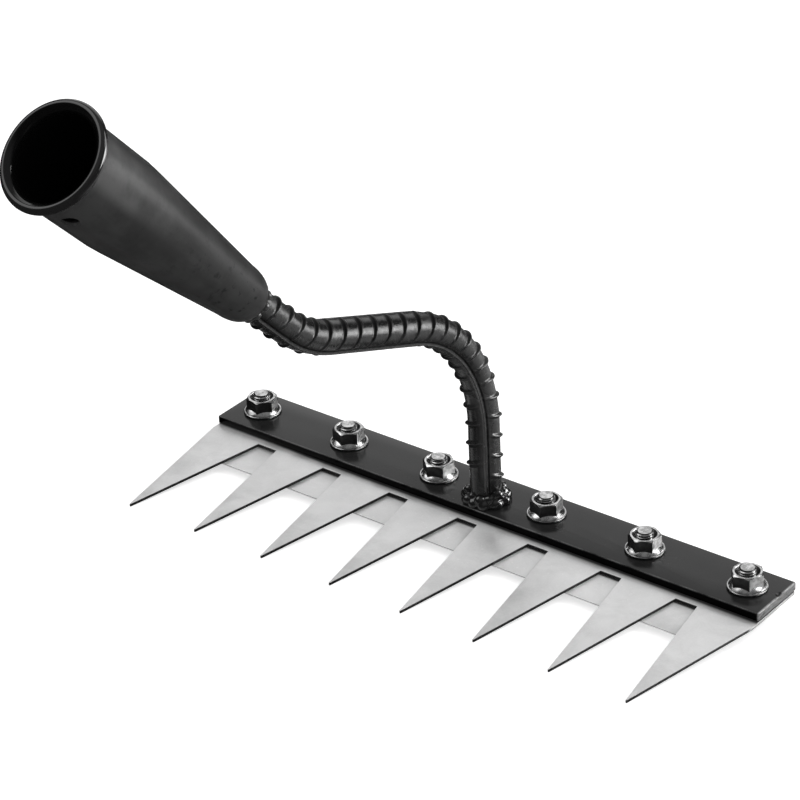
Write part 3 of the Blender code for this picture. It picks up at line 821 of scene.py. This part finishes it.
# %% Neck
NECK_RADIUS = 7.1 * MM
NECK_FORWARD = 4.5 * MM
STEM = 37.9
SHOULDER_RADIUS, SHOULDER_TURN = 75.3, math.radians(69.0)
RUN = 59.1
ELBOW_RADIUS, ELBOW_TURN = 70.1, math.radians(24.9)
STRETCHES = (
    (STEM, 0.0),
    (SHOULDER_TURN * SHOULDER_RADIUS, -1 / SHOULDER_RADIUS),
    (RUN, 0.0),
    (ELBOW_TURN * ELBOW_RADIUS, 1 / ELBOW_RADIUS),
)
NECK_END = 28.0
NECK_INSERT = 16.0
SOCKET_START = sum(length for length, _ in STRETCHES) + NECK_END
FOOT_PLAIN = 6.1
END_PLAIN = SOCKET_START - 4.2
RIB_PITCH = 10.3
RIB_HEIGHT = 1.2
RIB_BASE = 2.4
RIB_CREST = 0.5
RIB_SLANT = math.radians(22)
RIB_STAGGER = 7.0
RIB_DRIFT = 4.8
DRIFT_START = 55
DRIFT_LENGTH = 75
RIB_SHADE_WIDTH = 1.3
LONG_RIB_TURN = math.radians(-51)
LONG_RIB_HEIGHT = 0.9
LONG_RIB_WIDTH = 1.9
NECK_CUTS = 28
WOBBLE = 0.05
WOBBLE_SIZE = 3


def neck_line(distance):
    """Point and slope of the neck's middle line at a distance along it from the foot."""
    y, z, slope = -NECK_FORWARD / MM, SEAT / MM, math.pi / 2
    for length, bend in (*STRETCHES, (NECK_END + NECK_INSERT, 0.0)):
        step = min(distance, length)
        turned = slope + bend * step
        if bend:
            y -= (math.sin(turned) - math.sin(slope)) / bend
            z -= (math.cos(turned) - math.cos(slope)) / bend
        else:
            y -= math.cos(slope) * step
            z += math.sin(slope) * step
        slope = turned
        distance -= step
        if distance <= 0:
            break
    return Vector((0, y, z)), slope


def ease(value):
    """A soft step from 0 to 1."""
    value = min(max(value, 0.0), 1.0)
    return value * value * (3 - 2 * value)


def rib_marks(distance, angle):
    """Height of the ribs at one spot of the round bar, and the share of painted shade there."""
    radius = NECK_RADIUS / MM
    swing = math.pi * radius / 2 * math.tan(RIB_SLANT)
    reach = swing + RIB_BASE / 2 + 0.4
    first, last = FOOT_PLAIN + reach, END_PLAIN - reach - RIB_STAGGER
    round_way = (angle - LONG_RIB_TURN) % (2 * math.pi)
    side, turned = divmod(round_way, math.pi)
    from_long = min(turned, math.pi - turned) * radius
    on_bar = ease((distance - FOOT_PLAIN) / 0.5) * ease((END_PLAIN - distance) / 0.5)
    long_rib = LONG_RIB_HEIGHT * ease(1.25 * (1 - from_long / (LONG_RIB_WIDTH / 2))) * on_bar
    lean = (1 - 2 * side) * (1 - 2 * turned / math.pi) * swing + side * RIB_STAGGER
    lean -= RIB_DRIFT * ease((distance - DRIFT_START) / DRIFT_LENGTH)
    count = int((last - first) / RIB_PITCH) + 1 - side
    nearest = min(max(round((distance - lean - first) / RIB_PITCH), 0), count)
    away = abs(distance - lean - first - nearest * RIB_PITCH)
    half_width = LONG_RIB_WIDTH / 2 / radius
    share = min(max((turned - half_width) / (math.pi - 2 * half_width), 0.0), 1.0)
    crescent = RIB_HEIGHT * math.sin(math.pi * share) ** 0.9
    up_flank = min(max((RIB_BASE / 2 - away) / (RIB_BASE / 2 - RIB_CREST / 2), 0.0), 1.0)
    rib = crescent * (0.75 * up_flank + 0.25 * ease(up_flank))
    # painted shade beside each rib: below it on the upright, on its socket side along the run, wider further
    # round
    rib_shade_reach = RIB_SHADE_WIDTH + RIB_SHADE_WIDTH * ease((math.degrees(turned) - 45) / 55)
    rib_shade_share = ease((away - 0.25) / 0.3) * ease((rib_shade_reach - away) / 0.7) * crescent / RIB_HEIGHT
    on_run = ease((distance - DRIFT_START) / 40)
    rib_shade_share *= on_run if distance - lean - first > nearest * RIB_PITCH else 1 - 0.7 * on_run
    # and a strip of painted shade beside the long rib
    beside_long = (1 - 2 * side) * (turned if turned < math.pi / 2 else math.pi - turned) * radius
    rib_shade_share = max(rib_shade_share, ease((beside_long - 0.7) / 0.4) * ease((2.2 - beside_long) / 0.7))
    return max(long_rib, rib), rib_shade_share * on_bar


def make_neck():
    total = SOCKET_START + NECK_INSERT
    neck = add_round("neck_ribbed", NECK_RADIUS, 0, total * MM, sides=96)
    for _ in range(2):
        pick_edges(neck, lambda _, ends: abs(ends[0].z - ends[1].z) > 0.2 * MM)
        bpy.ops.mesh.subdivide(number_cuts=NECK_CUTS)
    deselect()
    # each point keeps its share of painted shade beside the ribs, which the paint reads
    marks = neck.data.attributes.new("rib_shade", "FLOAT", "POINT")
    for vertex in neck.data.vertices:
        distance = vertex.co.z / MM
        angle = math.atan2(vertex.co.y, vertex.co.x)
        wobble = WOBBLE * noise.noise(vertex.co / (WOBBLE_SIZE * MM))
        rise, marks.data[vertex.index].value = rib_marks(distance, angle)
        radius = NECK_RADIUS / MM + rise + wobble
        point, slope = neck_line(distance)
        upwards = Vector((0, math.sin(slope), math.cos(slope)))
        across = upwards * math.sin(angle) + Vector((math.cos(angle), 0, 0))
        vertex.co = (point + across * radius) * MM
    return neck


neck = make_neck()
dress(neck, "neck", NECK_PAINT, smooth=50)

# %% [markdown]
# Welds
# A weld bead is a row of overlapping drops. Drops are spheres here, set round the joint with slightly
# different sizes. The Remesh modifier melts them into one skin, the Smooth modifier lets them run together,
# and a little noise wrinkles them. A drill then clears the bar that the weld surrounds.

# %% Weld at the foot
FOOT_DROPS = (
    (-96, 7.9, 1.2, 2.9), (-60, 8.2, 1.2, 3.2), (-24, 8.5, 1.3, 3.5), (8, 8.7, 1.5, 3.4),
    (44, 8.4, 1.5, 3.5), (84, 8.2, 1.4, 3.2), (124, 8.2, 1.3, 3.3), (164, 8.4, 1.4, 3.4),
    (200, 8.3, 1.4, 3.5), (236, 8.0, 1.3, 3.1), (-40, 7.4, 3.8, 2.6), (-12, 7.5, 5.6, 3.1),
    (40, 7.3, 3.8, 2.6), (150, 7.2, 3.6, 2.6), (205, 7.3, 4.2, 2.7), (250, 7.2, 3.8, 2.1),
    (-72, 7.6, 3.4, 2.8), (54, 7.3, 5.0, 2.7),
)
SOCKET_DROPS = [(36 * i + 6 * math.sin(9 * i), 6.9, 1.9 + 0.2 * math.sin(5 * i), 2.2) for i in range(10)]
BEAD_BORE = NECK_RADIUS / MM + 0.05
BEAD_GRAIN = 0.22
BEAD_SMOOTHING = 34
WRINKLE = 0.30
WRINKLE_SIZE = 3.5


def make_bead(name, drops):
    """Melt drops into a ring round Z; each has a turn in degrees, a reach, a height and a radius."""
    ring = None
    for turned, reach, height, radius in drops:
        deselect()
        way = math.radians(turned)
        place = [value * MM for value in (reach * math.cos(way), reach * math.sin(way), height)]
        bpy.ops.mesh.primitive_ico_sphere_add(subdivisions=3, radius=radius * MM, location=place)
        drop = added("drop")
        bpy.ops.transform.resize(value=(1, 1, 0.9), center_override=place)
        if ring is None:
            ring = drop
            ring.name = name
        else:
            combine(ring, drop, "UNION")
    carry_out(ring, "REMESH", mode="VOXEL", voxel_size=BEAD_GRAIN * MM, use_smooth_shade=True)
    carry_out(ring, "SMOOTH", factor=0.5, iterations=BEAD_SMOOTHING)
    for vertex in ring.data.vertices:
        away = Vector((vertex.co.x, vertex.co.y, 0)).normalized()
        vertex.co += away * WRINKLE * MM * noise.noise(vertex.co / (WRINKLE_SIZE * MM))
    drill = add_round("drill", BEAD_BORE * MM, -9 * MM, 12 * MM, sides=96)
    combine(ring, drill, "DIFFERENCE")
    return ring


foot_bead = make_bead("foot_bead", FOOT_DROPS)
work_on(foot_bead, editing=True)
bpy.ops.mesh.bisect(plane_co=(0, 0, 0), plane_no=(0, 0, 1), use_fill=True, clear_inner=True)
bpy.ops.object.mode_set(mode="OBJECT")
foot_bead.data.transform(Matrix.Translation((0, -NECK_FORWARD, SEAT)))
dress(foot_bead, "neck_weld", WELD_PAINT, smooth=60)

# %% Weld at the socket
COLLAR_BACK = 3.9


def on_neck(distance):
    """Matrix that sets a piece drawn about Z on the neck's line, with Z along it."""
    point, slope = neck_line(distance)
    return Matrix.Translation(point * MM) @ Matrix.Rotation(math.pi / 2 - slope, 4, "X")


socket_bead = make_bead("socket_bead", SOCKET_DROPS)
socket_bead.data.transform(on_neck(SOCKET_START - COLLAR_BACK))
dress(socket_bead, "socket_weld", COLLAR_PAINT, smooth=60)

# %% [markdown]
# The handle socket
# A tube that was drawn down to the neck at one end and rolled outwards into a round lip at the other. It is
# one outline spun about its axis: rounded end, long taper, a nearly straight mouth, the lip, and the bore
# A drill makes the hole for the screw that holds the handle. Its paint is satin outside, with
# drier lighter patches drawn out along it, and a painted highlight along the upper side near the mouth.
# The lip is glossier and painted darker as shade. Painted shade darkens the groove behind the lip and the
# small end beside the weld, and the bore is painted black as shade.

# %% Handle socket
SOCKET_LENGTH = 140.7
TAPER_LENGTH = 95.8
SMALL_RADIUS = 10.8
WIDE_RADIUS = 19.0
MOUTH_END_RADIUS = 19.45
WALL = 2.0
SHOULDER = 11.5
END_RADIUS = 8.0
LIP_RADIUS = 22.41
LIP_ROUND = 1.9
LIP_NECK = 9.0
LIP_START = math.radians(-62)
LIP_SWEEP = math.radians(200)
KNEE = 6
KNEE_DEPTH = 0.12
KNEE_PAST = 3
SCREW_RADIUS = 3.4
SCREW_FROM_MOUTH = 16.0
SCREW_TURN = math.radians(-66)
LIGHT_PATCH_SIDE = math.radians(16)


def socket_radius(height):
    """Outer radius of the sleeve at a height above its small end, in millimetres."""
    if height > TAPER_LENGTH:
        share = (height - TAPER_LENGTH) / (SOCKET_LENGTH - TAPER_LENGTH)
        return WIDE_RADIUS + (MOUTH_END_RADIUS - WIDE_RADIUS) * share
    taper = (WIDE_RADIUS - SMALL_RADIUS) / TAPER_LENGTH
    if height >= SHOULDER:
        knee = max(0.0, 1 - (TAPER_LENGTH - height) / KNEE)
        return SMALL_RADIUS + taper * height - KNEE_DEPTH * knee * knee
    grown = SMALL_RADIUS + taper * SHOULDER - END_RADIUS
    return END_RADIUS + grown * math.sqrt(1 - (1 - height / SHOULDER) ** 2)


def socket_slope(z):
    """The same radius as a shader sum: the taper, or the mouth where that is less."""
    taper = (WIDE_RADIUS - SMALL_RADIUS) / TAPER_LENGTH
    return (z * taper + SMALL_RADIUS * MM).combine("MINIMUM", WIDE_RADIUS * MM)


def socket_outline():
    """Closed outline of the sleeve's wall."""
    bore = NECK_RADIUS / MM + GAP / MM
    shoulder = [SHOULDER * (1 - math.cos(math.pi / 2 * i / 14)) for i in range(14)]
    body = [SHOULDER + (TAPER_LENGTH - KNEE - SHOULDER) * i / 8 for i in range(9)]
    body += [TAPER_LENGTH - KNEE + (KNEE + KNEE_PAST) / 6 * i for i in range(1, 7)]
    last = SOCKET_LENGTH - LIP_NECK
    body += [TAPER_LENGTH + KNEE_PAST + (last - TAPER_LENGTH - KNEE_PAST) * i / 4 for i in range(1, 5)]
    outline = [(bore, 0.0)] + [(socket_radius(height), height) for height in shoulder + body]
    ring_radius, ring_height = LIP_RADIUS - LIP_ROUND, SOCKET_LENGTH - LIP_ROUND

    def on_lip(angle):
        return ring_radius + LIP_ROUND * math.cos(angle), ring_height + LIP_ROUND * math.sin(angle)

    start = (socket_radius(last), last)
    rim = on_lip(LIP_START)
    flare = (start[0] + 0.1, rim[1] - 1.4)
    for i in range(1, 8):
        share = i / 8
        weights = ((1 - share) ** 2, 2 * share * (1 - share), share ** 2)
        outline.append([sum(a * b for a, b in zip(weights, values)) for values in zip(start, flare, rim)])
    outline += [on_lip(LIP_START + LIP_SWEEP * i / 16) for i in range(17)]
    mouth = socket_radius(SOCKET_LENGTH) - WALL
    for i in range(1, 6):
        share = i / 6
        outline.append((outline[-1][0] + (mouth - outline[-1][0]) * share, outline[-1][1] - 1.1 * share))
    outline += [(socket_radius(height) - WALL, height) for height in reversed(body)]
    outline += [(socket_radius(height) - WALL, height + WALL / 2) for height in reversed(shoulder[5:])]
    outline += [(bore, WALL), (bore, 0.0)]
    return [(radius * MM, height * MM) for radius, height in outline]


def make_socket():
    socket = lathe("socket_sleeve", socket_outline(), steps=128)
    drill = add_round("drill", SCREW_RADIUS * MM, 0, (LIP_RADIUS + 4) * MM, sides=48)
    deselect()
    drill.data.transform(
        Matrix.Translation((0, 0, (SOCKET_LENGTH - SCREW_FROM_MOUTH) * MM))
        @ Matrix.Rotation(SCREW_TURN, 4, "Z")
        @ Matrix.Rotation(math.pi / 2, 4, "Y")
    )
    combine(socket, drill, "DIFFERENCE")
    socket.data.transform(on_neck(SOCKET_START))
    return socket


def make_socket_paint():
    """Satin black on the sleeve's own coordinates: Z runs from the small end to the mouth."""

    def before_mouth(rounds):
        return (SOCKET_LENGTH - rounds * LIP_ROUND) * MM

    finish = Finish("socket_paint", on_neck(SOCKET_START), IOR=1.45, Specular_IOR_Level=0.08)
    x, y, z = finish.split(finish.where)
    radius = (x * x + y * y).power(0.5)
    clouds = finish.noise(45, detail=4, roughness=0.6)
    grain = finish.noise(1500, detail=3)
    drawn = finish.noise((160, 160, 25), detail=3)
    dry = finish.rise(0.6 * clouds + 0.4 * drawn, 0.42, 0.62)
    ring = LIP_RADIUS - LIP_ROUND
    # painted shade: the bore, its walls and the inner side of the lip are black
    inside = finish.rise(radius, (ring - 0.6) * MM, (ring + 0.2) * MM, 1.0, 0.0)
    inside = inside * finish.rise(z, before_mouth(2.4), before_mouth(1.8))
    walls = finish.rise(radius - socket_slope(z), -0.6 * WALL * MM, -0.3 * WALL * MM, 1.0, 0.0)
    # painted shade in the groove behind the lip
    groove_shade = finish.rise((z - before_mouth(2.3)).size(), 0.4 * MM, 1.8 * MM, 1.0, 0.0)
    bore_shade = inside.highest(walls)
    # painted highlight: a lighter patch along the upper side, near the mouth
    toward = (x * math.cos(LIGHT_PATCH_SIDE) + y * math.sin(LIGHT_PATCH_SIDE)) - 0.80 * radius
    painted_light = finish.rise(toward, 0, 3 * MM) * finish.rise(z, 60 * MM, 125 * MM)
    painted_light = painted_light * finish.rise(clouds, 0.3, 0.6, 0.5, 1.0)
    lip = finish.rise(z, before_mouth(2.6), before_mouth(2.0))
    spots = finish.noise(240, detail=4, roughness=0.7)
    spots = finish.rise(spots, 0.56, 0.66) * finish.rise(z + 0.8 * toward, 0, 90 * MM, 0.7, 0.1)
    # painted shade at the small end, beside the weld
    end = finish.rise(z, 0.3 * MM, 1.8 * MM, 0.95, 0.0)
    level = finish.blend(painted_light, finish.blend(dry, 0.034, 0.048), 0.11)
    # the lip is painted darker: painted shade
    level = finish.blend(lip, level, 0.012)
    finish.paint(
        Base_Color=finish.blend(bore_shade.highest(0.8 * groove_shade).highest(spots).highest(end), level, 0.002),
        Roughness=finish.rise(dry + 0.4 * grain, 0.0, 1.4, 0.28, 0.40) - 0.10 * lip + 0.3 * walls,
        Coat_Weight=0.8 * lip,
    )
    finish.bump(0.6 * clouds + 0.3 * drawn + 0.1 * grain, 0.12 * MM, 0.8)
    return finish.material


socket = make_socket()
SOCKET_PAINT = make_socket_paint()
dress(socket, "handle_socket", SOCKET_PAINT, smooth=30)

# %% [markdown]
# Floor and backdrop
# The camera sees a plain pale floor that keeps the shadow. In the photograph the metal mirrors a pale
# backdrop behind the rake and a dim room in front of it: that contrast is what makes bare metal look like
# metal. So mirrors see the floor dull in front, paler behind, and lit brightly far off to the right.

# %% Floor
GLOW = 4.6
SEEN_GLOW = 0.60
LIGHT_WAY = (0.54, 0.84)
LIGHT_EDGE = (0.935, 0.99)


def ray_kinds(recipe):
    """1 for rays that see straight, and 1 for rays that a shiny face sends."""
    kinds = recipe.node("ShaderNodeLightPath").socket.node.outputs
    names = ("Is Camera Ray", "Is Transmission Ray", "Is Glossy Ray")
    camera, through, glossy = (Shade(recipe, kinds[name]) for name in names)
    return camera.highest(through), glossy


def make_floor():
    deselect()
    bpy.ops.mesh.primitive_plane_add(size=24)
    floor = bpy.context.object
    floor.name = "floor"
    finish = Finish("floor_white", Roughness=1.0, Specular_IOR_Level=0.0, Emission_Strength=GLOW)
    seen, glossy = ray_kinds(finish)
    x, y, _ = finish.split(finish.where)
    away = (x * x + y * y).power(0.5)
    to_light = (LIGHT_WAY[0] * x + LIGHT_WAY[1] * y) * away.power(-1.0)
    lit = finish.rise(to_light, *LIGHT_EDGE) * finish.rise(away, 0.30, 1.10)
    behind = finish.rise(0.8 * x + 0.6 * y, -0.05, 0.20) * finish.rise(away, 0.30, 0.70, 1.0, 0.1)
    dull = finish.blend(behind, 0.04, 0.80)
    pale = finish.blend(finish.noise(3), 0.80, 0.82)
    shown = finish.blend(seen, lit * glossy, SEEN_GLOW / GLOW)
    finish.paint(Base_Color=finish.blend(seen, finish.blend(glossy, 0.70, dull), pale), Emission_Color=shown)
    floor.data.materials.append(finish.material)
    return floor


floor = make_floor()
print("floor at", floor.location[:])

# %% [markdown]
# Studio light
# The room's soft light, stronger from the camera's side, shows a colour about as it is written. One lamp,
# high behind on the right, adds a shadow and soft glints. What mirrors see follows the photograph: a white
# backdrop where the flat faces look, two bright low lights behind and on the right, a small one on the
# left, a pale ceiling, and a dark room elsewhere. Each is a direction, where its edge begins and ends, and
# its level.

# %% Light
ROOM_LIGHT = 0.70
ROOM_MIRRORED = 0.028
BACKDROP = ((-0.45, 0.70, 0.56), 0.84, 0.97, 1.12)
LOW_LIGHT = ((*LIGHT_WAY, 0.03), *LIGHT_EDGE, GLOW)
SIDE_LIGHT = ((0.80, 0.58, 0.14), 0.93, 0.98, 17.0)
LEFT_LIGHT = ((-0.64, -0.26, 0.72), 0.90, 0.97, 2.0)
CEILING = ((0.10, -0.10, 0.99), 0.60, 0.95, 0.22)
CAMERA_SIDE = (0.5, -0.8, 0.3)
KEY_PLACE = Vector((0.80, 0.80, 1.13))
KEY_TARGET = Vector((0, 0, 0.05))
KEY_SIZE = 0.65
KEY_WATTS = 6.5


def make_world():
    world = bpy.data.worlds.new("studio")
    bpy.context.scene.world = world
    world.use_nodes = True
    recipe = Recipe(world.node_tree)
    background = world.node_tree.nodes["Background"]
    background.inputs["Color"].default_value = (1, 1, 1, 1)
    way = recipe.node("ShaderNodeTexCoord", output=0)

    def looking(direction):
        """How far a ray looks along a direction: 1 when straight along it."""
        inputs = {0: way, 1: direction}
        return recipe.node("ShaderNodeVectorMath", {"operation": "DOT_PRODUCT"}, inputs, output=1)

    mirrored = ROOM_MIRRORED
    for direction, low, high, level in (BACKDROP, LOW_LIGHT, SIDE_LIGHT, LEFT_LIGHT, CEILING):
        mirrored = mirrored + recipe.rise(looking(direction), low, high, 0.0, level)
    seen, glossy = ray_kinds(recipe)
    soft = recipe.rise(looking(CAMERA_SIDE), -0.7, 0.7, 0.5 * ROOM_LIGHT, 1.3 * ROOM_LIGHT)
    scattered = (1 - seen) * (1 - glossy) * soft
    recipe.feed(background.inputs["Strength"], seen + glossy * mirrored + scattered)


def add_key_lamp():
    """A square soft lamp that faces the rake."""
    data = bpy.data.lights.new("key", "AREA")
    data.shape = "RECTANGLE"
    data.size = data.size_y = KEY_SIZE
    data.energy = KEY_WATTS
    lamp = bpy.data.objects.new("key", data)
    bpy.context.scene.collection.objects.link(lamp)
    lamp.location = KEY_PLACE
    lamp.rotation_mode = "QUATERNION"
    lamp.rotation_quaternion = (KEY_TARGET - KEY_PLACE).to_track_quat("-Z", "Y")


make_world()
add_key_lamp()
bpy.context.scene.view_settings.view_transform = "Standard"
print("lamps:", [item.name for item in bpy.data.lights])

# %% Finish
print("finished")
